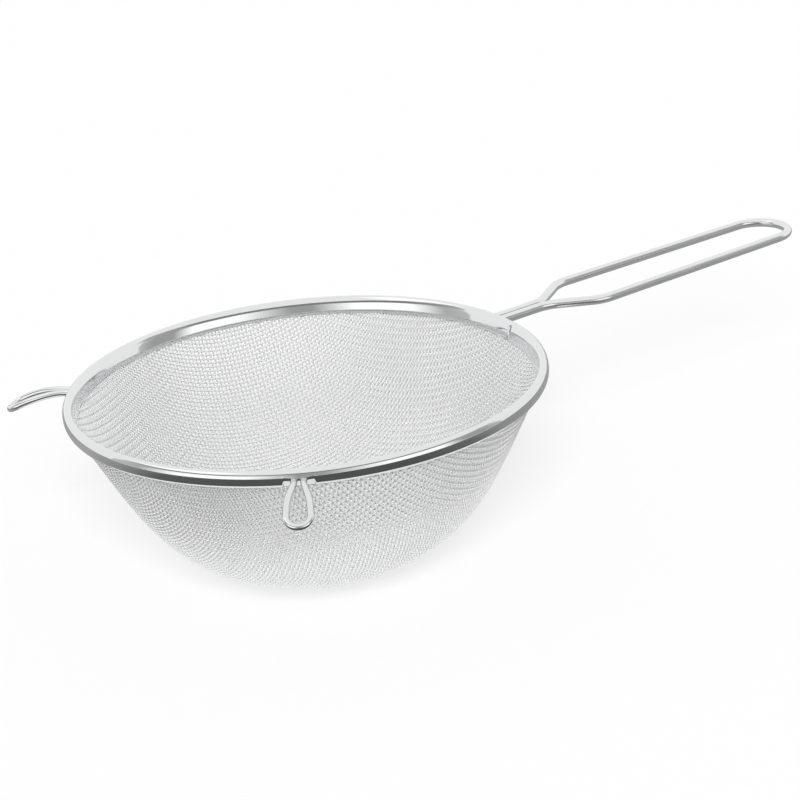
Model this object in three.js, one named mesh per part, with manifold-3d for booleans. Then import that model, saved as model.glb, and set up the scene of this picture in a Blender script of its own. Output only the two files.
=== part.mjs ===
// A wire-cloth kitchen sieve: a round bowl of woven wire, a rolled rim band over a stiffening
// hoop, one bent wire as the handle and two bent wires as rest ears.
// Millimetres, +Z up, +X along the handle, origin under the middle of the bowl on its flat base.
import * as THREE from 'three';
import { mergeVertices } from 'three/addons/utils/BufferGeometryUtils.js';
import Module from 'manifold-3d';

// Driving dimensions of the rim band
const rimOuterDiameter = 200;
const rimBeadWidth = 4.6;
const rimBeadHeight = 7;
const rimSheet = 0.5;
const rimSeamGap = 0.3;
const rimSeamAngle = -10;

// Driving dimensions of the bowl
const bowlDepth = 78.8;         // rim mid-height to the middle of the cloth at the base
const bowlMouthDrop = 3;        // the cloth leaves the rim band this far below its mid-height
const bowlMouthInset = 4;       // and this far inside the outer edge of the rim
const bowlShoulderIn = 22;      // control point of the wall: inwards and down from the mouth
const bowlShoulderDown = 39.5;
const bowlFloorReach = 67.5;    // control point of the floor: how far the flat part pulls outwards
const baseFlatDepth = 0.5;      // the lowest wires are worn flat where the bowl stands

// Driving dimensions of the woven cloth, with fewer and thicker wires than the real one
const clothPitch = 14;
const clothWire = 1.2;
const clothCrossingGap = 0.4;
const clothTurn = 77;           // angle of the first wires to the handle
const hemWidth = 1.4;
const hemHeight = 1.2;
const hemDrop = 0.9;            // hem middle below the rim's mid-height

// Driving dimensions of the wires
const hoopWire = 2;
const handleWire = 4;
const handleReach = 168;        // beyond the outer edge of the rim
const handleNeckLength = 26;
const handleSplayLength = 20;
const handleWidthFront = 31.4;  // between wire middles where the loop opens
const handleWidthEnd = 27.2;    // between wire middles at the rounded end
const handleBend = 5;
const neckGap = 0.4;            // between the two neck legs
const earWire = 2.8;
const earReach = 29;            // beyond the outer edge of the rim
const earLegSpacing = 3.8;
const earWidth = 10;            // between wire middles at the rounded end
const earDroop = 6.6;           // the tip hangs this far below the root
const earRootDrop = 0.6;        // ear legs below the rim's mid-height
const earLeftAngle = 135;       // from the handle, about the middle of the bowl
const earRightAngle = -125.5;

// Clearances
const slotClearance = 0.3;
const weldClearance = 0.3;
const bendEase = 0.3;           // straight left between the two bends of a rounded end

// Facets
const rimSegments = 60;
const beadOuterFacets = 3;
const beadTopFacets = 7;
const beadInnerFacets = 2;
const wireSides = 9;
const thinWireSides = 8;
const handleSteps = 72;
const earSteps = 34;
const earPathPoints = 24;

// Search for the crossings of the cloth on the bowl
const searchStep = 0.01;
const searchRounds = 12;
const walkRounds = 8;
const mergeDistance = 1e-4;

// Finishes
const clothFinish = { color: 0xc9cbcc, roughness: 0.38, metalness: 1 };
const rimFinish = { color: 0xd2d4d6, roughness: 0.2, metalness: 1 };
const hoopFinish = { color: 0xb4b6b8, roughness: 0.28, metalness: 1 };
const wireFinish = { color: 0xcfd1d3, roughness: 0.28, metalness: 1 };

// Derived places
const rimOuterRadius = rimOuterDiameter / 2;
const beadRadius = rimBeadWidth / 2;
const beadStraight = rimBeadHeight / 2 - beadRadius;
const beadMiddle = rimOuterRadius - beadRadius;
const clothCrimp = (clothWire + clothCrossingGap) / 2;
const basePole = clothCrimp + clothWire / 2 - baseFlatDepth;
const rimZ = basePole + bowlDepth;
const hoopZ = rimZ + rimBeadHeight / 2 - rimSheet - weldClearance - hoopWire / 2;
const wireEndRadius = beadMiddle + hoopWire / 2 + weldClearance;
const neckHalf = (handleWire + neckGap) / 2;

const wasm = await Module();
wasm.setup();

// Closed three.js geometry to a solid for cutting and joining
function toSolid(geometry) {
  const bare = geometry.clone();
  bare.deleteAttribute('normal');
  bare.deleteAttribute('uv');
  const merged = mergeVertices(bare, mergeDistance);
  return new wasm.Manifold(new wasm.Mesh({
    numProp: 3,
    vertProperties: new Float32Array(merged.attributes.position.array),
    triVerts: new Uint32Array(merged.index.array),
  }));
}

function toGeometry(solid) {
  const mesh = solid.getMesh();
  const geometry = new THREE.BufferGeometry();
  geometry.setAttribute('position', new THREE.BufferAttribute(mesh.vertProperties, 3));
  geometry.setIndex(new THREE.BufferAttribute(mesh.triVerts, 1));
  geometry.computeVertexNormals();
  return geometry;
}

// Ring about the Z axis from a closed profile of [radius, height] points
function ring(profile) {
  const points = profile.map(([radius, height]) => new THREE.Vector2(radius, height));
  points.push(points[0].clone());
  const geometry = new THREE.LatheGeometry(points, rimSegments);
  geometry.rotateX(Math.PI / 2);
  return geometry;
}

function roundSection(diameter, sides) {
  const corners = Array.from({ length: sides }, (_, k) => {
    const angle = ((k + 0.5) / sides) * 2 * Math.PI;
    return new THREE.Vector2(Math.cos(angle), Math.sin(angle)).multiplyScalar(diameter / 2);
  });
  return new THREE.Shape(corners);
}

function bentWire(curve, diameter, sides, steps) {
  return new THREE.ExtrudeGeometry(roundSection(diameter, sides), { extrudePath: curve, steps });
}

// Points on a circular arc in a profile, angles in degrees
function arc(radius, height, size, from, to, count) {
  return Array.from({ length: count + 1 }, (_, k) => {
    const angle = THREE.MathUtils.degToRad(from + ((to - from) * k) / count);
    return [radius + size * Math.cos(angle), height + size * Math.sin(angle)];
  });
}

// Bowl surface: arc length from the middle of the base, outwards along one meridian
const bowlMouth = new THREE.Vector2(rimOuterRadius - bowlMouthInset, rimZ - bowlMouthDrop);
const bowlWall = new THREE.CubicBezierCurve(
  new THREE.Vector2(0, basePole),
  new THREE.Vector2(bowlFloorReach, basePole),
  new THREE.Vector2(bowlMouth.x - bowlShoulderIn, bowlMouth.y - bowlShoulderDown),
  bowlMouth,
);
const wallLength = bowlWall.getLength();
const mouthSlope = bowlWall.getTangent(1);

// Point and outward tangent of the meridian at an arc length; it runs on straight past the mouth
function meridian(length) {
  const inside = Math.min(length, wallLength) / wallLength;
  const point = bowlWall.getPointAt(inside);
  const tangent = length > wallLength ? mouthSlope : bowlWall.getTangentAt(inside);
  return { point: point.addScaledVector(tangent, Math.max(0, length - wallLength)), tangent };
}

// Place on the bowl for plan coordinates measured along the cloth from the middle of the base
function onBowl(u, v) {
  const length = Math.hypot(u, v);
  const { point, tangent } = meridian(length);
  const cos = length > 0 ? u / length : 1;
  const sin = length > 0 ? v / length : 0;
  return {
    place: new THREE.Vector3(point.x * cos, point.x * sin, point.y),
    normal: new THREE.Vector3(-tangent.y * cos, -tangent.y * sin, tangent.x),
    length,
  };
}

// The node of the cloth one pitch away from two neighbours, found by small corrections
function nextNode(a, b, guess) {
  const miss = (u, v) => {
    const { place } = onBowl(u, v);
    return [place.distanceTo(a.place) - clothPitch, place.distanceTo(b.place) - clothPitch];
  };
  let [u, v] = guess;
  for (let round = 0; round < searchRounds; round += 1) {
    const [f, g] = miss(u, v);
    const [fu, gu] = miss(u + searchStep, v).map((value, k) => (value - [f, g][k]) / searchStep);
    const [fv, gv] = miss(u, v + searchStep).map((value, k) => (value - [f, g][k]) / searchStep);
    const det = fu * gv - fv * gu;
    u -= (f * gv - g * fv) / det;
    v -= (g * fu - f * gu) / det;
  }
  return { u, v, ...onBowl(u, v) };
}

// Cloth nodes in one quarter, laid like a stretched fishing net from two wires through the middle
const hemLength = wallLength + (bowlMouthDrop - hemDrop) / mouthSlope.y;
const clothReach = Math.ceil(hemLength / clothPitch) + 1;

function chordWalk(direction) {
  const nodes = [{ u: 0, v: 0, ...onBowl(0, 0) }];
  for (let k = 1; k <= clothReach; k += 1) {
    const last = nodes[k - 1];
    let length = last.length + clothPitch;
    for (let round = 0; round < walkRounds; round += 1) {
      const { place } = onBowl(direction[0] * length, direction[1] * length);
      length += clothPitch - place.distanceTo(last.place);
    }
    const [u, v] = [direction[0] * length, direction[1] * length];
    nodes.push({ u, v, ...onBowl(u, v) });
  }
  return nodes;
}

function clothQuarter() {
  const alongU = chordWalk([1, 0]);
  const alongV = chordWalk([0, 1]);
  const grid = alongU.map((node) => [node]);
  alongV.forEach((node, j) => { grid[0][j] = node; });
  for (let i = 1; i <= clothReach; i += 1) {
    for (let j = 1; j <= clothReach; j += 1) {
      const [a, b, c] = [grid[i - 1][j], grid[i][j - 1], grid[i - 1][j - 1]];
      const open = a && b && Math.min(a.length, b.length) < hemLength;
      grid[i][j] = open ? nextNode(a, b, [a.u + b.u - c.u, a.v + b.v - c.v]) : null;
    }
  }
  return grid;
}

const quarter = clothQuarter();

function clothNode(i, j) {
  const node = quarter[Math.abs(i)]?.[Math.abs(j)];
  if (!node) {
    return null;
  }
  const [u, v] = [Math.sign(i) * node.u, Math.sign(j) * node.v];
  return { u, v, ...onBowl(u, v) };
}

// Square wire through a list of points, with its flat sides along the given normals
function clothWireSolid(points, normals) {
  const half = clothWire / 2;
  const position = [];
  const index = [];
  points.forEach((point, k) => {
    const before = points[Math.max(0, k - 1)];
    const after = points[Math.min(points.length - 1, k + 1)];
    const along = after.clone().sub(before).normalize();
    const side = along.clone().cross(normals[k]).normalize();
    const up = side.clone().cross(along);
    [[-1, -1], [1, -1], [1, 1], [-1, 1]].forEach(([s, t]) => {
      const corner = point.clone().addScaledVector(side, s * half).addScaledVector(up, t * half);
      position.push(...corner.toArray());
    });
  });
  for (let k = 0; k + 1 < points.length; k += 1) {
    for (let c = 0; c < 4; c += 1) {
      const [a, b] = [4 * k + c, 4 * k + ((c + 1) % 4)];
      index.push(a, a + 4, b, b, a + 4, b + 4);
    }
  }
  const last = 4 * (points.length - 1);
  index.push(0, 1, 2, 0, 2, 3, last, last + 2, last + 1, last, last + 3, last + 2);
  const geometry = new THREE.BufferGeometry();
  geometry.setAttribute('position', new THREE.Float32BufferAttribute(position, 3));
  geometry.setIndex(index);
  return toSolid(geometry);
}

// Half of one wire, from the line through the middle out to the hem: crossings, then a straight end
function halfWire(nodeAt, crimpSign) {
  const straightStart = wallLength - clothWire;
  const lastCrossing = straightStart - clothWire - clothCrossingGap;
  const path = [];
  let k = 0;
  let node = nodeAt(k);
  let before = node;
  while (node.length < hemLength) {
    if (node.length < lastCrossing) {
      const lift = crimpSign * (k % 2 === 0 ? clothCrimp : -clothCrimp);
      path.push({ point: node.place.clone().addScaledVector(node.normal, lift), normal: node.normal });
    }
    before = node;
    k += 1;
    node = nodeAt(k);
  }
  for (const stop of [straightStart, hemLength]) {
    const share = (stop - before.length) / (node.length - before.length);
    const { place, normal } = onBowl(
      THREE.MathUtils.lerp(before.u, node.u, share),
      THREE.MathUtils.lerp(before.v, node.v, share),
    );
    path.push({ point: place, normal });
  }
  return path;
}

// A whole wire is two halves that meet on the line through the middle
function wholeWire(nodeAt, crimpSign) {
  const forward = halfWire(nodeAt, crimpSign);
  const backward = halfWire((k) => nodeAt(-k), crimpSign).slice(1).reverse();
  const path = [...backward, ...forward];
  return clothWireSolid(path.map((stop) => stop.point), path.map((stop) => stop.normal));
}

function meshBowl() {
  const hemMiddle = bowlMouth.x + (hemLength - wallLength) * mouthSlope.x;
  const hemProfile = [[-1, -1], [1, -1], [1, 1], [-1, 1]].map(([s, t]) => [
    hemMiddle + (s * hemWidth) / 2,
    rimZ - hemDrop + (t * hemHeight) / 2,
  ]);
  const pieces = [toSolid(ring(hemProfile))];
  for (let k = -clothReach; k <= clothReach; k += 1) {
    const start = clothNode(0, k);
    if (start && start.length < wallLength - clothPitch / 2) {
      const sign = k % 2 === 0 ? -1 : 1;
      pieces.push(wholeWire((i) => clothNode(i, k), sign));
      pieces.push(wholeWire((j) => clothNode(k, j), -sign));
    }
  }
  const belowBase = new THREE.BoxGeometry(rimOuterDiameter, rimOuterDiameter, rimOuterRadius);
  belowBase.translate(0, 0, -rimOuterRadius / 2);
  const cloth = wasm.Manifold.union(pieces).subtract(toSolid(belowBase));
  const geometry = toGeometry(cloth);
  geometry.rotateZ(THREE.MathUtils.degToRad(clothTurn));
  return geometry;
}

// Straight clearance hole for a wire leg through the outer wall of the rim band
function legHole(diameter, lateral, drop, angle) {
  const leg = new THREE.LineCurve3(
    new THREE.Vector3(beadMiddle, lateral, rimZ - drop),
    new THREE.Vector3(rimOuterRadius + beadRadius, lateral, rimZ - drop),
  );
  const hole = bentWire(leg, diameter + 2 * slotClearance, wireSides, 1);
  return toSolid(hole.rotateZ(THREE.MathUtils.degToRad(angle)));
}

function rimBand() {
  const mouthSide = clothWire / 2 + clothCrossingGap + slotClearance;
  const mouthOpen = THREE.MathUtils.radToDeg(Math.asin(mouthSide / beadRadius));
  const mouthAngle = 360 - THREE.MathUtils.radToDeg(Math.atan2(
    rimZ - beadStraight - bowlMouth.y,
    bowlMouth.x - beadMiddle,
  ));
  const [lower, upper] = [rimZ - beadStraight, rimZ + beadStraight];
  const turn = (size) => [
    ...arc(beadMiddle, lower, size, mouthAngle + mouthOpen, 360, beadOuterFacets),
    ...arc(beadMiddle, upper, size, 0, 180, beadTopFacets),
    ...arc(beadMiddle, lower, size, 180, mouthAngle - mouthOpen, beadInnerFacets),
  ];
  const profile = [...turn(beadRadius), ...turn(beadRadius - rimSheet).reverse()];
  const seam = new THREE.BoxGeometry(2 * rimBeadWidth, rimSeamGap, 2 * rimBeadHeight);
  seam.translate(beadMiddle, 0, rimZ);
  seam.rotateZ(THREE.MathUtils.degToRad(rimSeamAngle));
  const cuts = [toSolid(seam)];
  for (const side of [-1, 1]) {
    cuts.push(legHole(handleWire, side * neckHalf, 0, 0));
    for (const angle of [earLeftAngle, earRightAngle]) {
      cuts.push(legHole(earWire, (side * earLegSpacing) / 2, earRootDrop, angle));
    }
  }
  return toGeometry(toSolid(ring(profile)).subtract(wasm.Manifold.union(cuts)));
}

function hoop() {
  return ring(arc(beadMiddle, hoopZ, hoopWire / 2, 0, 360, thinWireSides).slice(0, -1));
}

// Path along corner points in the XY plane, with a round bend at each inner corner;
// reach is the length of wire that a bend takes from each side of its corner
function bentPath(corners, reaches) {
  const path = new THREE.CurvePath();
  let from = corners[0];
  corners.slice(1, -1).forEach((corner, k) => {
    const back = corners[k].clone().sub(corner).normalize();
    const ahead = corners[k + 2].clone().sub(corner).normalize();
    const turn = Math.PI - back.angleTo(ahead);
    const radius = reaches[k] / Math.tan(turn / 2);
    const pull = reaches[k] - (4 / 3) * Math.tan(turn / 4) * radius;
    const [enter, leave] = [back, ahead].map((way) => corner.clone().addScaledVector(way, reaches[k]));
    const [pullIn, pullOut] = [back, ahead].map((way) => corner.clone().addScaledVector(way, pull));
    path.add(new THREE.LineCurve3(from, enter));
    path.add(new THREE.CubicBezierCurve3(enter, pullIn, pullOut, leave));
    from = leave;
  });
  path.add(new THREE.LineCurve3(from, corners.at(-1)));
  return path;
}

function mirrored(half) {
  const other = half.map((corner) => new THREE.Vector3(corner.x, -corner.y, corner.z)).reverse();
  return [...half, ...other];
}

function handle() {
  const neckEnd = rimOuterRadius + handleNeckLength;
  const half = [
    new THREE.Vector3(wireEndRadius, neckHalf, rimZ),
    new THREE.Vector3(neckEnd, neckHalf, rimZ),
    new THREE.Vector3(neckEnd + handleSplayLength, handleWidthFront / 2, rimZ),
    new THREE.Vector3(rimOuterRadius + handleReach - handleWire / 2, handleWidthEnd / 2, rimZ),
  ];
  const endReach = handleWidthEnd / 2 - bendEase;
  const path = bentPath(mirrored(half), [handleBend, handleBend, endReach, endReach, handleBend, handleBend]);
  return bentWire(path, handleWire, wireSides, handleSteps);
}

function ear(angle) {
  const tip = rimOuterRadius + earReach - earWire / 2;
  const half = [
    new THREE.Vector3(wireEndRadius, earLegSpacing / 2, 0),
    new THREE.Vector3(rimOuterRadius + earWire, earLegSpacing / 2, 0),
    new THREE.Vector3(tip, earWidth / 2, 0),
  ];
  const endReach = earWidth / 2 - bendEase;
  const flat = bentPath(mirrored(half), [earWire / 2, endReach, endReach, earWire / 2]);
  const drooped = flat.getSpacedPoints(earPathPoints).map((point) => {
    const share = Math.max(0, (point.x - half[1].x) / (tip - half[1].x));
    return point.setZ(rimZ - earRootDrop - earDroop * share * share);
  });
  const geometry = bentWire(new THREE.CatmullRomCurve3(drooped), earWire, thinWireSides, earSteps);
  return geometry.rotateZ(THREE.MathUtils.degToRad(angle));
}

const sieve = new THREE.Group();

function addPiece(name, geometry, finish) {
  const mesh = new THREE.Mesh(geometry, new THREE.MeshStandardMaterial(finish));
  mesh.name = name;
  sieve.add(mesh);
}

addPiece('mesh_bowl', meshBowl(), clothFinish);
addPiece('rim_band', rimBand(), rimFinish);
addPiece('hoop_wire', hoop(), hoopFinish);
addPiece('handle_wire', handle(), wireFinish);
addPiece('rest_ear_left', ear(earLeftAngle), wireFinish);
addPiece('rest_ear_right', ear(earRightAngle), wireFinish);

export default sieve;
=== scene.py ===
import math

import bpy
import numpy as np
from mathutils import Matrix, Vector


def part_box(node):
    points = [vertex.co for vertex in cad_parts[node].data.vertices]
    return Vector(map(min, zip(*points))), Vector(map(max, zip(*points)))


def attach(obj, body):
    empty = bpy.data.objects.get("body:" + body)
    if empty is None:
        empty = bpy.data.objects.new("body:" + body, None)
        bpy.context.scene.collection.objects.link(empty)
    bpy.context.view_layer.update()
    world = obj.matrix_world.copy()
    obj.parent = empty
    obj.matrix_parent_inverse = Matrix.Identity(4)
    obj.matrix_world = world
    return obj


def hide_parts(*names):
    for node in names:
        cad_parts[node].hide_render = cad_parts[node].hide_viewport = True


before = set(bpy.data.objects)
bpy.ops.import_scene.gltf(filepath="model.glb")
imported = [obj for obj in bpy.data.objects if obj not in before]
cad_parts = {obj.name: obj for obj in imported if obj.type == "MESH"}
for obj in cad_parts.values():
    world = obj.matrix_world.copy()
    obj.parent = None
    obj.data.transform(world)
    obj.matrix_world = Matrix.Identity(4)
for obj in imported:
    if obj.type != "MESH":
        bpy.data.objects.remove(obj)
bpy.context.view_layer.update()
mm = 0.001

# places and sizes that several pieces share, in millimetres until the mesh is made
sieve = {
    "rimRadius": 100.0,
    "rimHeight": 79.7,          # mid-height of the rim over the floor
    "beadWidth": 5.2,
    "beadHeight": 6.88,
    "earAngles": {"left": 135.0, "right": -125.5},
}
beadMiddle = sieve["rimRadius"] - sieve["beadWidth"] / 2
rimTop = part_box("rim_band")[1].z / mm
print("frame loaded, rim top at", round(rimTop, 2), "mm")


# mesh helpers

def meshPiece(name, points, faces, lays=None):
    mesh = bpy.data.meshes.new(name)
    points = np.asarray(points, dtype=float) * mm
    groups = [np.asarray(group, dtype=np.int32) for group in faces]     # one array for each face size
    corners = np.concatenate([group.ravel() for group in groups])
    sizes = np.concatenate([np.full(len(group), group.shape[1]) for group in groups])
    mesh.vertices.add(len(points))
    mesh.vertices.foreach_set("co", points.ravel())
    mesh.loops.add(len(corners))
    mesh.loops.foreach_set("vertex_index", corners)
    mesh.polygons.add(len(sizes))
    mesh.polygons.foreach_set("loop_start", (np.cumsum(sizes) - sizes).astype(np.int32))
    mesh.update(calc_edges=True)
    for layName, spread in (lays or {}).items():
        lay = mesh.uv_layers.new(name=layName)
        lay.data.foreach_set("uv", np.asarray(spread, dtype=np.float32).ravel())
    mesh.validate()
    mesh.shade_smooth()
    piece = bpy.data.objects.new(name, mesh)
    bpy.context.scene.collection.objects.link(piece)
    return piece


def place(piece, nodes, material):
    piece.data.materials.append(material)
    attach(piece, "root")
    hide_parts(*nodes)


def unit(vectors):
    return vectors / np.linalg.norm(vectors, axis=-1, keepdims=True)


def turned(points, degrees):
    angle = math.radians(degrees)
    spin = np.array([[math.cos(angle), -math.sin(angle), 0], [math.sin(angle), math.cos(angle), 0], [0, 0, 1]])
    return points @ spin.T


# wire helpers

bending = {
    "fewest": 8,        # stops in a bend, however small it is
    "straight": 3,      # the stops of a straight are this many times wider apart
}


def straightStops(start, end, spacing):
    count = max(1, int(np.linalg.norm(end - start) / (bending["straight"] * spacing)))
    return [start + (end - start) * (k + 1) / count for k in range(count)]


def bentPath(corners, reaches, spacing):        # a line through the corners, each rounded from its reach on
    corners = [np.array(corner, dtype=float) for corner in corners]
    stops = [corners[0]]
    for k, reach in enumerate(reaches):
        corner = corners[k + 1]
        back, ahead = unit(corners[k] - corner), unit(corners[k + 2] - corner)
        turn = math.pi - math.acos(np.clip(back @ ahead, -1, 1))
        radius = reach / math.tan(turn / 2)
        pull = reach - 4 / 3 * math.tan(turn / 4) * radius
        bend = [corner + back * reach, corner + back * pull, corner + ahead * pull, corner + ahead * reach]
        stops += straightStops(stops[-1], bend[0], spacing)
        for t in np.linspace(0, 1, max(bending["fewest"], int(radius * turn / spacing)))[1:]:
            weights = ((1 - t) ** 3, 3 * (1 - t) ** 2 * t, 3 * (1 - t) * t ** 2, t ** 3)
            stops.append(sum(w * point for w, point in zip(weights, bend)))
    return np.array(stops + straightStops(stops[-1], corners[-1], spacing))


def mirrored(half):
    return half + [(x, -y, z) for x, y, z in reversed(half)]


def runAlong(points):
    return np.concatenate([[0], np.cumsum(np.linalg.norm(np.diff(points, axis=0), axis=1))])


def sweptRings(spots, upright, diameter, angles):
    along = unit(np.gradient(spots, axis=0))
    side = unit(np.cross(upright, along))
    up = np.cross(along, side)
    ring = np.stack([np.cos(angles), np.sin(angles)], 1) * diameter / 2
    rings = spots[:, None] + ring[None, :, :1] * side[:, None] + ring[None, :, 1:] * up[:, None]
    return rings.reshape(-1, 3)


def tubeQuads(count, sides):
    k, c = np.meshgrid(np.arange(count - 1), np.arange(sides), indexing="ij")
    n = (c + 1) % sides
    return np.stack([k * sides + c, k * sides + n, (k + 1) * sides + n, (k + 1) * sides + c], -1).reshape(-1, 4)


def tubeLay(along, across):     # the same quads laid out flat, corner by corner
    k, c = np.meshgrid(np.arange(len(along) - 1), np.arange(len(across) - 1), indexing="ij")
    corners = ((k, c), (k, c + 1), (k + 1, c + 1), (k + 1, c))
    return np.stack([np.stack([along[a], across[b]], -1) for a, b in corners], 2).reshape(-1, 2)


def roundWire(name, spots, diameter, sides):
    count = len(spots)
    points = sweptRings(spots, (0, 0, 1), diameter, np.arange(sides) / sides * 2 * math.pi)
    run = runAlong(spots) * mm
    lay = tubeLay(run, np.arange(sides + 1) / sides)
    caps = np.array([np.arange(sides)[::-1], (count - 1) * sides + np.arange(sides)])
    ends = np.stack([np.repeat(run[[0, -1]], sides), (caps % sides).ravel() / sides], 1)
    return meshPiece(name, points, [tubeQuads(count, sides), caps], {"wireLay": np.vstack([lay, ends])})


# shader node groups that several steels share

grainNoise = {"Scale": 1.0, "Detail": 3.0, "Roughness": 0.6}
hazeNoise = {"Detail": 5.0, "Distortion": 0.8}
hazeSpread = {"From Min": 0.35, "From Max": 0.7}


def newGroup(name, inputs, outputs):
    group = bpy.data.node_groups.new(name, "ShaderNodeTree")
    for way, sockets in (("INPUT", inputs), ("OUTPUT", outputs)):
        for label, kind in sockets.items():
            group.interface.new_socket(name=label, in_out=way, socket_type="NodeSocket" + kind)
    return group, group.nodes.new("NodeGroupInput"), group.nodes.new("NodeGroupOutput")


def setInputs(node, values):
    for label, value in values.items():
        node.inputs[label].default_value = value


def addMath(nodes, links, operation, first, second):
    node = nodes.new("ShaderNodeMath")
    node.operation = operation
    for socket, value in zip(node.inputs, (first, second)):
        if isinstance(value, (int, float)):
            socket.default_value = value
        else:
            links.new(value, socket)
    return node.outputs[0]


def drawnGrainGroup():      # fine lines along a drawn or rolled length
    group, come, go = newGroup(
        "drawnGrain",
        {"Lay": "Vector", "Length Scale": "Float", "Cross Scale": "Float"},
        {"Lines": "Float"},
    )
    nodes, links = group.nodes, group.links
    split = nodes.new("ShaderNodeSeparateXYZ")
    join = nodes.new("ShaderNodeCombineXYZ")
    links.new(come.outputs["Lay"], split.inputs[0])
    links.new(addMath(nodes, links, "MULTIPLY", split.outputs[0], come.outputs["Length Scale"]), join.inputs[0])
    links.new(addMath(nodes, links, "MULTIPLY", split.outputs[1], come.outputs["Cross Scale"]), join.inputs[1])
    noise = nodes.new("ShaderNodeTexNoise")
    setInputs(noise, grainNoise)
    links.new(join.outputs[0], noise.inputs["Vector"])
    links.new(noise.outputs[0], go.inputs["Lines"])
    return group


def handlingGroup():        # smudges from washing and hands
    group, come, go = newGroup(
        "handlingHaze",
        {"Place": "Vector", "Scale": "Float", "Low": "Float", "High": "Float"},
        {"Haze": "Float"},
    )
    nodes, links = group.nodes, group.links
    broad = nodes.new("ShaderNodeTexNoise")
    setInputs(broad, hazeNoise)
    links.new(come.outputs["Place"], broad.inputs["Vector"])
    links.new(come.outputs["Scale"], broad.inputs["Scale"])
    spread = nodes.new("ShaderNodeMapRange")
    setInputs(spread, hazeSpread)
    links.new(broad.outputs[0], spread.inputs["Value"])
    links.new(come.outputs["Low"], spread.inputs["To Min"])
    links.new(come.outputs["High"], spread.inputs["To Max"])
    links.new(spread.outputs[0], go.inputs["Haze"])
    return group


drawnGrain = drawnGrainGroup()
handlingHaze = handlingGroup()


def steel(name, look):
    material = bpy.data.materials.new(name)
    material.use_nodes = True
    nodes, links = material.node_tree.nodes, material.node_tree.links
    shader = nodes["Principled BSDF"]
    shader.inputs["Metallic"].default_value = look["metallic"]
    coords = nodes.new("ShaderNodeTexCoord")
    grain = nodes.new("ShaderNodeGroup")
    grain.node_tree = drawnGrain
    setInputs(grain, {"Length Scale": look["grainLength"], "Cross Scale": look["grainCross"]})
    if look["lay"]:
        lay = nodes.new("ShaderNodeUVMap")
        lay.uv_map = look["lay"]
        links.new(lay.outputs[0], grain.inputs["Lay"])
    else:
        links.new(coords.outputs["Object"], grain.inputs["Lay"])
    haze = nodes.new("ShaderNodeGroup")
    haze.node_tree = handlingHaze
    setInputs(haze, {"Scale": look["hazeScale"], "Low": look["rough"][0], "High": look["rough"][1]})
    links.new(coords.outputs["Object"], haze.inputs["Place"])
    links.new(haze.outputs["Haze"], shader.inputs["Roughness"])
    tone = nodes.new("ShaderNodeMix")
    tone.data_type = "RGBA"
    setInputs(tone, {"A": (*look["dark"], 1), "B": (*look["light"], 1)})
    links.new(grain.outputs["Lines"], tone.inputs["Factor"])
    links.new(tone.outputs["Result"], shader.inputs["Base Color"])
    bump = nodes.new("ShaderNodeBump")
    setInputs(bump, {"Strength": look["bump"], "Distance": look["bumpDepth"]})
    links.new(grain.outputs["Lines"], bump.inputs["Height"])
    links.new(bump.outputs[0], shader.inputs["Normal"])
    return material


# rim: a rolled strip, open underneath where the cloth runs in

rim = {
    "sheet": 0.5,
    "power": 2.25,              # roundness of the rolled section
    "lean": 1.0,                # the inner side slopes down into the bowl
    "skirt": (1.0, 1.8),        # and its lower edge runs on along the cloth, in and down
    "mouth": (234.0, 262.0),    # section angles between which the strip is open
    "sectionSteps": 56,
    "turnSteps": 420,
    "notchSteps": 90,           # closer steps across each ear
    "seamAngle": -10.0,
    "seamGap": 0.14,
    "notchHalf": 6.6,           # raised edge over the ear legs
    "notchMargin": 1.0,         # closer steps reach this far past it
    "notchClear": 0.3,          # degrees kept free of the wider steps
    "notchFlank": 0.9,
    "notchTop": 1.6,            # the edge is raised below this height and outside this depth
    "notchDepth": 1.2,
    "notchRise": 2.0,
    "notchBulge": 0.5,
    "look": {
        "lay": "stripLay", "grainLength": 0.02, "grainCross": 2.5, "hazeScale": 28.0, "rough": (0.05, 0.12),
        "dark": (0.74, 0.745, 0.75), "light": (0.8, 0.805, 0.81), "bump": 0.04, "bumpDepth": 0.00003,
        "metallic": 1.0,
    },
}


def rimSection():
    shut, opened = rim["mouth"]
    angles = np.radians(np.linspace(opened - 360, shut, rim["sectionSteps"]))
    power = 2 / rim["power"]
    cos, sin = np.cos(angles), np.sin(angles)

    def rolled(half, tall):
        across, up = np.sign(cos) * np.abs(cos) ** power, np.sign(sin) * np.abs(sin) ** power
        inside = np.clip(-across, 0, 1)
        under = inside * np.clip(-up, 0, 1)
        skirtIn, skirtDown = rim["skirt"]
        out = half * across + rim["lean"] * up * inside - skirtIn * under
        return np.stack([out, tall * up - skirtDown * under], 1)

    outer = rolled(sieve["beadWidth"] / 2, sieve["beadHeight"] / 2)
    inner = rolled(sieve["beadWidth"] / 2 - rim["sheet"], sieve["beadHeight"] / 2 - rim["sheet"])
    return np.vstack([outer, inner[::-1]])


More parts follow.
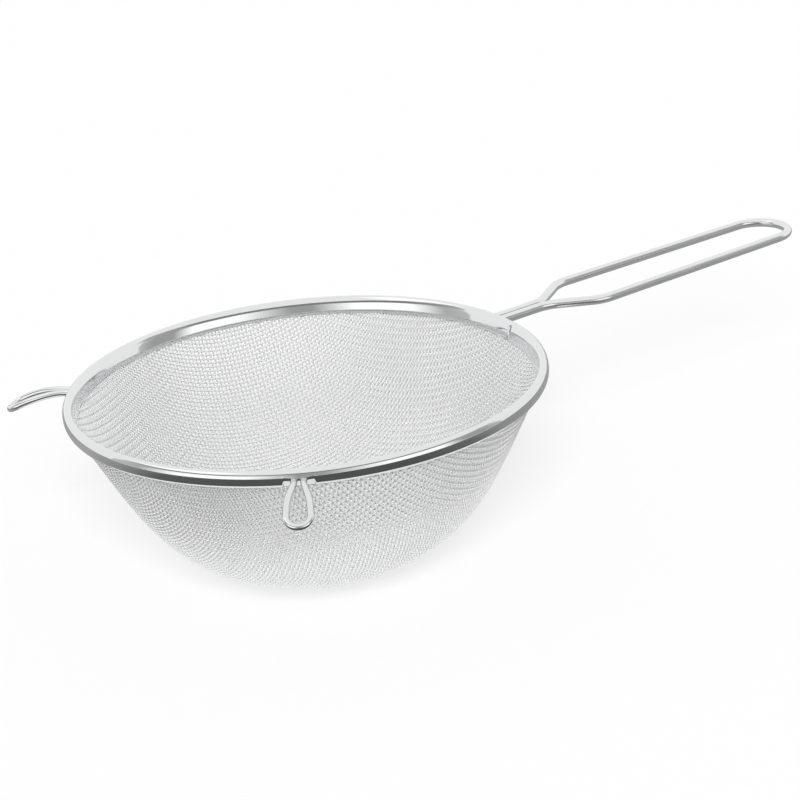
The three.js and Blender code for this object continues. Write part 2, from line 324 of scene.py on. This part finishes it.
def rolledRim():
    section = rimSection()
    gap = math.degrees(rim["seamGap"] / sieve["rimRadius"])
    turn = np.linspace(gap / 2, 360 - gap / 2, rim["turnSteps"])
    reach = math.degrees((rim["notchHalf"] + rim["notchMargin"]) / sieve["rimRadius"])
    for earAngle in sieve["earAngles"].values():
        middle = (earAngle - rim["seamAngle"]) % 360
        close = np.linspace(middle - reach, middle + reach, rim["notchSteps"])
        turn = np.concatenate([turn[np.abs(turn - middle) > reach + rim["notchClear"]], close])
    angles = np.radians(rim["seamAngle"] + np.sort(turn))
    radius = np.broadcast_to(beadMiddle + section[:, 0], (len(angles), len(section))).copy()
    height = np.broadcast_to(section[:, 1], (len(angles), len(section))).copy()
    for earAngle in sieve["earAngles"].values():        # the strip is pressed up where the ear legs come out
        off = (angles - math.radians(earAngle) + math.pi) % (2 * math.pi) - math.pi
        away = np.abs(off)[:, None] * sieve["rimRadius"]
        near = np.clip((rim["notchHalf"] - away) / rim["notchFlank"], 0, 1)
        near = near * near * (3 - 2 * near)
        crown = np.cos(np.clip(away / rim["notchHalf"], 0, 1) * math.pi / 2) ** 2
        low = np.clip((rim["notchTop"] - height) / (rim["notchTop"] + sieve["beadHeight"] / 2), 0, 1)
        low = low * np.clip((radius - beadMiddle) / rim["notchDepth"], 0, 1)
        height = height + rim["notchRise"] * near * low
        radius = radius + rim["notchBulge"] * crown * low
    points = np.stack([
        radius * np.cos(angles)[:, None],
        radius * np.sin(angles)[:, None],
        sieve["rimHeight"] + height,
    ], -1)
    turns, around = points.shape[:2]
    k, c = np.meshgrid(np.arange(turns - 1), np.arange(around), indexing="ij")
    n = (c + 1) % around
    quads = np.stack([k * around + c, (k + 1) * around + c, (k + 1) * around + n, k * around + n], -1)
    quads = quads.reshape(-1, 4)
    half = around // 2
    rung = np.arange(half - 1)
    lips = np.stack([rung, rung + 1, around - 2 - rung, around - 1 - rung], -1)      # closes both seam ends
    quads = np.vstack([quads, lips, lips[:, ::-1] + (turns - 1) * around])
    flat = points.reshape(-1, 3)
    run = (np.repeat(angles, around) * sieve["rimRadius"]) * mm
    across = np.tile(np.arange(around) / around, turns)
    lay = np.stack([run[quads], across[quads]], -1)
    return meshPiece("rolledRim", flat, [quads], {"stripLay": lay.reshape(-1, 2)})


rimPiece = rolledRim()
place(rimPiece, ["rim_band"], steel("rimStrip", rim["look"]))
print("rim rolled", len(rimPiece.data.polygons), "faces")


# bowl: fine wire cloth, laid over the bowl like a net from two wires through the middle

cloth = {
    "pitch": (1.8, 1.73),       # along the two families
    "wire": 0.8,
    "turn": 77.0,
    "sides": 5,
    "crimp": 0.52,              # share of the wire that a crossing lifts it by
    "knuckle": 0.22,            # share of a pitch that a wire stays over or under at a crossing
    "mouth": (96.0, 76.7),      # radius and height where the cloth leaves the rim
    "shoulder": (22.0, 39.5),
    "floorReach": 67.5,
    "pole": 0.9,
    "curveSteps": 4001,
    "runOn": 6.0,               # the bowl's curve goes straight on by this height, up into the rim
    "hemRise": 2.1,             # the wires run on into the rim by this height
    "hemWire": 1.2,
    "hemSides": 8,
    "hemSteps": 241,
    "spare": 1.5,               # pitches laid past the hem before the wires are cut
    "fewest": 3,                # crossings of the shortest wire
    "rounds": 8,                # of closing in on a crossing
    "nudge": 1e-4,
    "bakeShare": 0.9,           # of a wire's strip in the bake map
    "look": {
        "lay": "wireLay", "grainLength": 0.08, "grainCross": 4.0, "hazeScale": 45.0, "rough": (0.24, 0.36),
        "dark": (0.9, 0.903, 0.906), "light": (0.96, 0.962, 0.964), "bump": 0.15, "bumpDepth": 0.00004,
        "metallic": 0.8,
    },
}


def bowlMeridian():
    mouth = np.array(cloth["mouth"])
    corners = np.array([
        (0, cloth["pole"]),
        (cloth["floorReach"], cloth["pole"]),
        mouth - np.array(cloth["shoulder"]),
        mouth,
    ])
    t = np.linspace(0, 1, cloth["curveSteps"])[:, None]
    curve = (1 - t) ** 3 * corners[0] + 3 * (1 - t) ** 2 * t * corners[1]
    curve = curve + 3 * (1 - t) * t ** 2 * corners[2] + t ** 3 * corners[3]
    slope = unit(corners[3] - corners[2])
    curve = np.vstack([curve, mouth + slope * (cloth["runOn"] / slope[1])])
    tangents = unit(np.gradient(curve, axis=0))
    tangents[0] = (1, 0)
    tangents[-2:] = slope
    return runAlong(curve), curve, tangents, slope


bowlLengths, bowlCurve, bowlTangents, mouthSlope = bowlMeridian()
mouthLength = bowlLengths[-2]
hemLength = mouthLength + cloth["hemRise"] / mouthSlope[1]


def onBowl(u, v):
    length = np.hypot(u, v)
    safe = np.where(length > 0, length, 1)
    cos, sin = np.where(length > 0, u / safe, 1), np.where(length > 0, v / safe, 0)
    radius = np.interp(length, bowlLengths, bowlCurve[:, 0])
    height = np.interp(length, bowlLengths, bowlCurve[:, 1])
    out = np.interp(length, bowlLengths, bowlTangents[:, 0])
    up = np.interp(length, bowlLengths, bowlTangents[:, 1])
    return np.stack([radius * cos, radius * sin, height], -1), np.stack([-up * cos, -up * sin, out], -1)


def walkOut(pitch, count):      # stops one pitch apart on a meridian
    stops = [0.0]
    for _ in range(count):
        ahead = stops[-1] + pitch
        here, _n = onBowl(np.array(stops[-1]), np.array(0.0))
        for _r in range(cloth["rounds"]):
            there, _n = onBowl(np.array(ahead), np.array(0.0))
            ahead += pitch - np.linalg.norm(there - here)
        stops.append(ahead)
    return stops


def clothQuarter():
    pitchU, pitchV = cloth["pitch"]
    nudge = cloth["nudge"]
    reach = hemLength + cloth["spare"] * max(cloth["pitch"])
    count = int(np.ceil(reach / min(cloth["pitch"]))) + 1
    u = np.full((count + 1, count + 1), np.nan)
    v = u.copy()
    u[:, 0], v[:, 0] = walkOut(pitchU, count), 0
    u[0, :], v[0, :] = 0, walkOut(pitchV, count)
    for diagonal in range(2, 2 * count + 1):
        i = np.arange(max(1, diagonal - count), min(count, diagonal - 1) + 1)
        j = diagonal - i
        near = np.fmin(np.hypot(u[i - 1, j], v[i - 1, j]), np.hypot(u[i, j - 1], v[i, j - 1]))
        keep = ~np.isnan(u[i - 1, j]) & ~np.isnan(u[i, j - 1]) & (near < reach)
        i, j = i[keep], j[keep]
        if not len(i):
            continue
        besideU, _n = onBowl(u[i - 1, j], v[i - 1, j])
        besideV, _n = onBowl(u[i, j - 1], v[i, j - 1])

        def miss(a, b):
            there, _m = onBowl(a, b)
            fromU, fromV = np.linalg.norm(there - besideU, axis=1), np.linalg.norm(there - besideV, axis=1)
            return fromU - pitchU, fromV - pitchV

        a = u[i - 1, j] + u[i, j - 1] - u[i - 1, j - 1]
        b = v[i - 1, j] + v[i, j - 1] - v[i - 1, j - 1]
        for _r in range(cloth["rounds"]):
            f, g = miss(a, b)
            fa, ga = [(moved - still) / nudge for moved, still in zip(miss(a + nudge, b), (f, g))]
            fb, gb = [(moved - still) / nudge for moved, still in zip(miss(a, b + nudge), (f, g))]
            det = fa * gb - fb * ga
            a, b = a - (f * gb - g * fb) / det, b - (g * fa - f * ga) / det
        u[i, j], v[i, j] = a, b
    return u, v


def wireStops(u, v, sign):      # over and under stops of one wire from its crossings, ends cut at the hem
    length = np.hypot(u, v)
    inside = np.nonzero(length < hemLength)[0]
    if len(inside) < cloth["fewest"] or inside[0] == 0 or inside[-1] == len(u) - 1:
        return None
    ends = []
    for inner, outer in ((inside[0], inside[0] - 1), (inside[-1], inside[-1] + 1)):
        ends.append(inner + (outer - inner) * (hemLength - length[inner]) / (length[outer] - length[inner]))
    steps = np.arange(inside[0], inside[-1] + 1)
    at = np.stack([steps - cloth["knuckle"], steps + cloth["knuckle"]], 1).ravel()
    rise = np.repeat(np.where(steps % 2 == 0, sign, -sign), 2) * cloth["wire"] * cloth["crimp"]
    kept = (at > ends[0] + cloth["knuckle"]) & (at < ends[1] - cloth["knuckle"])
    at = np.concatenate([[ends[0]], at[kept], [ends[1]]])
    rise = np.concatenate([[0], rise[kept], [0]])
    crossings = np.arange(len(u))
    spots, normals = onBowl(np.interp(at, crossings, u), np.interp(at, crossings, v))
    return spots + normals * rise[:, None], normals


def wireTubes(name, wires):     # many thin wires in one piece, each a closed tube
    sides = cloth["sides"]
    angles = (np.arange(sides) + 0.5) / sides * 2 * math.pi
    edges = np.arange(sides + 1) / sides
    points, quads, caps, start = [], [], [], 0
    lays, bakes, capLays, capBakes = [], [], [], []
    for order, (spots, normals) in enumerate(wires):
        count = len(spots)
        points.append(sweptRings(spots, normals, cloth["wire"], angles))
        quads.append(tubeQuads(count, sides) + start)
        run = runAlong(spots)
        reach = run / run[-1]
        base, strip = order / len(wires), cloth["bakeShare"] / len(wires)
        lays.append(tubeLay(run, edges))
        bakes.append(tubeLay(reach, base + strip * edges))
        for end, ring in ((0, np.arange(sides)[::-1]), (count - 1, np.arange(sides))):
            caps.append(start + end * sides + ring)
            capLays.append(np.stack([np.full(sides, run[end]), ring / sides], 1))
            capBakes.append(np.stack([np.full(sides, reach[end]), base + strip * ring / sides], 1))
        start += count * sides
    return meshPiece(name, np.vstack(points), [np.vstack(quads), np.array(caps)],
                     {"wireLay": np.vstack(lays + capLays), "OFBake": np.vstack(bakes + capBakes)})


def wovenBowl():
    u, v = clothQuarter()
    count = u.shape[0] - 1
    index = np.arange(-count, count + 1)
    signU, signV = np.sign(index)[:, None], np.sign(index)[None, :]
    wholeU = u[np.abs(index)][:, np.abs(index)] * signU
    wholeV = v[np.abs(index)][:, np.abs(index)] * signV
    families = {"warp": [], "weft": []}
    for order in range(len(index)):
        sign = 1 if index[order] % 2 == 0 else -1
        for family, (a, b), way in (
            ("warp", (wholeU[:, order], wholeV[:, order]), sign),
            ("weft", (wholeU[order, :], wholeV[order, :]), -sign),
        ):
            known = np.nonzero(~np.isnan(a))[0]
            parity = 1 if (known[0] - count) % 2 == 0 else -1
            wire = wireStops(a[known], b[known], way * parity)
            if wire is not None:
                families[family].append(tuple(turned(part, cloth["turn"]) for part in wire))
    material = steel("wovenWire", cloth["look"])
    for family, wires in families.items():
        half = len(wires) // 2
        for label, share in (("A", wires[:half]), ("B", wires[half:])):
            piece = wireTubes(family + "Wires" + label, share)
            place(piece, ["mesh_bowl"], material)
            print("cloth", piece.name, len(share), "wires", len(piece.data.polygons), "faces")
    # the hem holds the wire ends, inside the rim
    turns = np.linspace(0, 2 * math.pi, cloth["hemSteps"])
    hem, _n = onBowl(hemLength * np.cos(turns), hemLength * np.sin(turns))
    hemPiece = roundWire("clothHem", hem, cloth["hemWire"], cloth["hemSides"])
    place(hemPiece, ["mesh_bowl"], material)


wovenBowl()


# handle and ears: one bent wire each

handle = {
    "wire": 4.0,
    "sides": 28,
    "spacing": 0.8,
    "neck": (99.0, 126.0, 2.2),     # the two legs side by side, from inside the rim
    "splay": (146.0, 15.7),
    "end": (265.96, 13.6),
    "bend": 5.0,
    "endFlat": 0.3,                 # half the straight bit left across the end
    "look": {
        "lay": "wireLay", "grainLength": 25.0, "grainCross": 26.0, "hazeScale": 40.0, "rough": (0.12, 0.24),
        "dark": (0.72, 0.725, 0.73), "light": (0.84, 0.845, 0.85), "bump": 0.06, "bumpDepth": 0.00004,
        "metallic": 1.0,
    },
}


def loopHandle():
    z = sieve["rimHeight"]
    rootX, neckX, neckY = handle["neck"]
    half = [(rootX, neckY, z), (neckX, neckY, z), (*handle["splay"], z), (*handle["end"], z)]
    reach = handle["end"][1] - handle["endFlat"]
    reaches = [handle["bend"]] * 2 + [reach] * 2 + [handle["bend"]] * 2
    spots = bentPath(mirrored(half), reaches, handle["spacing"])
    return roundWire("loopHandle", spots, handle["wire"], handle["sides"])


handlePiece = loopHandle()
drawnWire = steel("drawnWire", handle["look"])
place(handlePiece, ["handle_wire"], drawnWire)
print("handle bent", len(handlePiece.data.polygons), "faces")

ear = {
    "wire": 2.8,
    "sides": 24,
    "spacing": 0.3,
    "root": (99.0, 102.8, 1.9),
    "tip": (127.45, 5.0),
    "rootDrop": 0.6,
    "droop": 6.6,
    "belly": 0.7,                   # the legs bow outwards
    "endFlat": 0.3,
    "look": dict(handle["look"], rough=(0.05, 0.12), dark=(0.7, 0.705, 0.71), light=(0.8, 0.805, 0.81)),
}


def restEar(name, angle):
    rootX, outX, legY = ear["root"]
    half = [(rootX, legY, 0), (outX, legY, 0), (*ear["tip"], 0)]
    reach = ear["tip"][1] - ear["endFlat"]
    spots = bentPath(mirrored(half), [ear["wire"] / 2, reach, reach, ear["wire"] / 2], ear["spacing"])
    share = np.clip((spots[:, 0] - outX) / (ear["tip"][0] - outX), 0, None)
    spots[:, 1] += np.sign(spots[:, 1]) * ear["belly"] * np.sin(np.clip(share, 0, 1) * math.pi) ** 2
    spots[:, 2] = sieve["rimHeight"] - ear["rootDrop"] - ear["droop"] * share ** 2
    return roundWire(name, turned(spots, angle), ear["wire"], ear["sides"])


earWire = steel("earWire", ear["look"])
for side, angle in sieve["earAngles"].items():
    earPiece = restEar(side + "RestEar", angle)
    place(earPiece, ["rest_ear_" + side], earWire)
print("ears bent")

# hoop inside the rim stays as it is in the frame
hoopLook = dict(handle["look"], lay=None, grainLength=300.0, grainCross=300.0)
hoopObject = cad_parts["hoop_wire"]
hoopObject.data.materials.clear()
hoopObject.data.materials.append(steel("hoopWire", hoopLook))


# studio

studio = {
    "floorHalf": 4.0,
    "floorTone": 0.92,
    "floorGlow": 0.62,          # share of plain white in the floor that the camera sees
    "floorShine": 0.5,          # and in the floor that the steel shows
    "worldSoft": 0.55,
    "sun": 3.1,
    "sunSpread": 24.0,
    "sunRise": 32.0,
    "wallRadius": 1.4,
    "wallSteps": (120, 12),     # round and up
}

view = {
    "pixels": 800,
    "sensor": 36.0,
    "near": 0.05,
    "focal": 2600.0,            # in those pixels
    "target": (0.0, 0.0, -20.0),    # from the middle of the rim
    "elevation": 21.358,
    "azimuth": -33.956,
    "roll": -5.443,
    "distance": 1075.0,
    "slide": (36.97, 11.93),
}
cameraSide = view["azimuth"] - 90       # turn of the side that the camera looks from


def viewAxes():
    az, el, roll = [math.radians(view[key]) for key in ("azimuth", "elevation", "roll")]
    back = Vector((math.sin(az) * math.cos(el), -math.cos(az) * math.cos(el), math.sin(el)))
    level = Vector((math.cos(az), math.sin(az), 0))
    upright = back.cross(level)
    right = math.cos(roll) * level + math.sin(roll) * upright
    up = math.cos(roll) * upright - math.sin(roll) * level
    return right, up, back


def addCamera():
    right, up, back = viewAxes()
    target = Vector(view["target"]) + Vector((0, 0, sieve["rimHeight"]))
    eye = (target + back * view["distance"] + right * view["slide"][0] + up * view["slide"][1]) * mm
    data = bpy.data.cameras.new("camera")
    data.sensor_width = view["sensor"]
    data.lens = view["focal"] * data.sensor_width / view["pixels"]
    data.clip_start = view["near"]
    camera = bpy.data.objects.new("camera", data)
    camera.matrix_world = Matrix.Translation(eye) @ Matrix((right, up, back)).transposed().to_4x4()
    bpy.context.scene.collection.objects.link(camera)
    bpy.context.scene.camera = camera


def addFloor():
    half = studio["floorHalf"] / mm
    corners = [(-half, -half, 0), (half, -half, 0), (half, half, 0), (-half, half, 0)]
    floor = meshPiece("floor", corners, [[(0, 1, 2, 3)]])
    material = bpy.data.materials.new("paleFloor")
    material.use_nodes = True
    nodes, links = material.node_tree.nodes, material.node_tree.links
    nodes.remove(nodes["Principled BSDF"])
    matt = nodes.new("ShaderNodeBsdfDiffuse")
    matt.inputs["Color"].default_value = (studio["floorTone"],) * 3 + (1,)
    glow = nodes.new("ShaderNodeEmission")
    light = nodes.new("ShaderNodeLightPath")
    mix = nodes.new("ShaderNodeMixShader")
    seen = addMath(nodes, links, "MAXIMUM", light.outputs["Is Camera Ray"], light.outputs["Is Transmission Ray"])
    shown = addMath(nodes, links, "MULTIPLY", seen, studio["floorGlow"])
    shine = addMath(nodes, links, "MULTIPLY", light.outputs["Is Glossy Ray"], studio["floorShine"])
    links.new(addMath(nodes, links, "MAXIMUM", shown, shine), mix.inputs[0])
    links.new(matt.outputs[0], mix.inputs[1])
    links.new(glow.outputs[0], mix.inputs[2])
    links.new(mix.outputs[0], nodes["Material Output"].inputs[0])
    floor.data.materials.append(material)


def addWorld():
    world = bpy.data.worlds.new("studio")
    world.use_nodes = True
    bpy.context.scene.world = world
    nodes, links = world.node_tree.nodes, world.node_tree.links
    light = nodes.new("ShaderNodeLightPath")
    seen = addMath(nodes, links, "MAXIMUM", light.outputs["Is Camera Ray"], light.outputs["Is Glossy Ray"])
    seen = addMath(nodes, links, "MAXIMUM", seen, light.outputs["Is Transmission Ray"])
    strength = addMath(nodes, links, "MULTIPLY", seen, 1 - studio["worldSoft"])
    strength = addMath(nodes, links, "ADD", strength, studio["worldSoft"])
    background = nodes["Background"]
    background.inputs["Color"].default_value = (1, 1, 1, 1)
    links.new(strength, background.inputs["Strength"])


# painted reflections that only the steel sees: glowing walls on a wide sphere about the rim's middle, and a low
# dark sheet just over the floor, with bright and dark bands set to paint the steel's reflections; rise is in
# degrees, and glow goes from turn to turn, counted from the camera's side
paintedReflectionWalls = {
    "leftBrightReflection": {
        "rise": (-10, 28),
        "glow": [(-96, 0.6), (-80, 0.5), (-60, 1.3), (-28, 1.3), (-12, 0.65)],
    },
    "upperDarkReflection": {
        "rise": (28, 41),
        "glow": [(-100, 0.5), (-80, 0.34), (-60, 0.25), (62, 0.25), (72, 0.4), (100, 0.5)],
    },
    "highBrightReflection": {
        "rise": (43, 70),
        "glow": [(-125, 1.0), (-105, 1.3), (-60, 1.3), (-45, 1.0)],
    },
    "frontDarkReflection": {
        "rise": (-10, 28),
        "glow": [(-12, 0.65), (-6, 0.42), (4, 0.4), (8, 0.48)],
    },
    "rightBrightReflection": {
        "rise": (-10, 28),
        "glow": [(8, 0.48), (20, 0.85), (34, 1.3), (60, 1.3), (71, 0.42), (84, 0.4), (94, 0.6)],
    },
}
# a dark sheet just over the floor that only the steel sees: it paints the dark reflection bands on the rim and
# the cloth
lowDarkReflection = {
    "reach": (125.0, 1000.0),
    "drop": -78.7,              # from the rim's mid-height, just over the floor
    "glow": [
        (-180, 0.4), (-130, 0.4), (-107, 0.45), (-79, 0.28), (-60, 0.12), (-25, 0.1),
        (40, 0.1), (66, 0.16), (85, 0.32), (120, 0.4), (180, 0.4),
    ],
}


# glow that only the steel sees in reflection, though the walls are no lamps: it paints bright and dark
# reflections on the steel
def wallMaterial():
    material = bpy.data.materials.new("wallGlow")
    material.use_nodes = True
    nodes, links = material.node_tree.nodes, material.node_tree.links
    nodes.remove(nodes["Principled BSDF"])
    glow = nodes.new("ShaderNodeEmission")
    strength = nodes.new("ShaderNodeAttribute")
    strength.attribute_name = "glow"
    clear = nodes.new("ShaderNodeBsdfTransparent")
    face = nodes.new("ShaderNodeNewGeometry")
    mix = nodes.new("ShaderNodeMixShader")
    links.new(strength.outputs["Fac"], glow.inputs["Strength"])
    links.new(face.outputs["Backfacing"], mix.inputs[0])
    links.new(glow.outputs[0], mix.inputs[1])
    links.new(clear.outputs[0], mix.inputs[2])
    links.new(mix.outputs[0], nodes["Material Output"].inputs[0])
    return material


# a panel that paints reflections: it glows for the steel only
def showWall(name, points, strengths, material):        # seen from one face and only by the steel
    n = points.shape[1]
    k, c = np.meshgrid(np.arange(points.shape[0] - 1), np.arange(n - 1), indexing="ij")
    quads = np.stack([k * n + c, k * n + c + 1, (k + 1) * n + c + 1, (k + 1) * n + c], -1).reshape(-1, 4)
    panel = meshPiece(name, points.reshape(-1, 3), [quads])
    level = panel.data.attributes.new("glow", "FLOAT", "POINT")
    level.data.foreach_set("value", strengths.ravel().astype(np.float32))
    panel.data.materials.append(material)
    panel.visible_camera = False
    panel.visible_diffuse = False
    panel.visible_shadow = False
    panel.visible_transmission = False


def addWall(name, glow, lines, material):       # lines: radius and height over the rim, edge to edge
    stops, strengths = zip(*glow)
    across = np.linspace(stops[0], stops[-1], studio["wallSteps"][0])
    turns = np.radians(cameraSide + across)
    height = np.broadcast_to(lines[:, 1] + sieve["rimHeight"], (len(turns), len(lines)))
    points = np.stack([np.cos(turns)[:, None] * lines[:, 0], np.sin(turns)[:, None] * lines[:, 0], height], -1)
    levels = np.repeat(np.interp(across, stops, strengths)[:, None], len(lines), 1)
    showWall(name, points, levels, material)


def addWalls():
    material = wallMaterial()
    for name, wall in paintedReflectionWalls.items():
        rises = np.radians(np.linspace(*wall["rise"], studio["wallSteps"][1]))
        lines = np.stack([np.cos(rises), np.sin(rises)], 1) * studio["wallRadius"] / mm
        addWall(name, wall["glow"], lines, material)
    edges = np.array([(reach, lowDarkReflection["drop"]) for reach in lowDarkReflection["reach"]])
    addWall("lowDarkReflection", lowDarkReflection["glow"], edges, material)


def addSun():       # broad and low from the front, so that the shadow falls behind the bowl
    data = bpy.data.lights.new("broadSun", "SUN")
    data.energy = studio["sun"]
    data.angle = math.radians(studio["sunSpread"])
    sun = bpy.data.objects.new("broadSun", data)
    sun.visible_glossy = False
    turn, rise = math.radians(cameraSide), math.radians(studio["sunRise"])
    shine = Vector((math.cos(turn) * math.cos(rise), math.sin(turn) * math.cos(rise), math.sin(rise)))
    sun.rotation_euler = (-shine).to_track_quat("-Z", "Y").to_euler()
    bpy.context.scene.collection.objects.link(sun)


addCamera()
addFloor()
addWorld()
addWalls()
addSun()
bpy.context.scene.view_settings.view_transform = "Standard"
print("studio set")
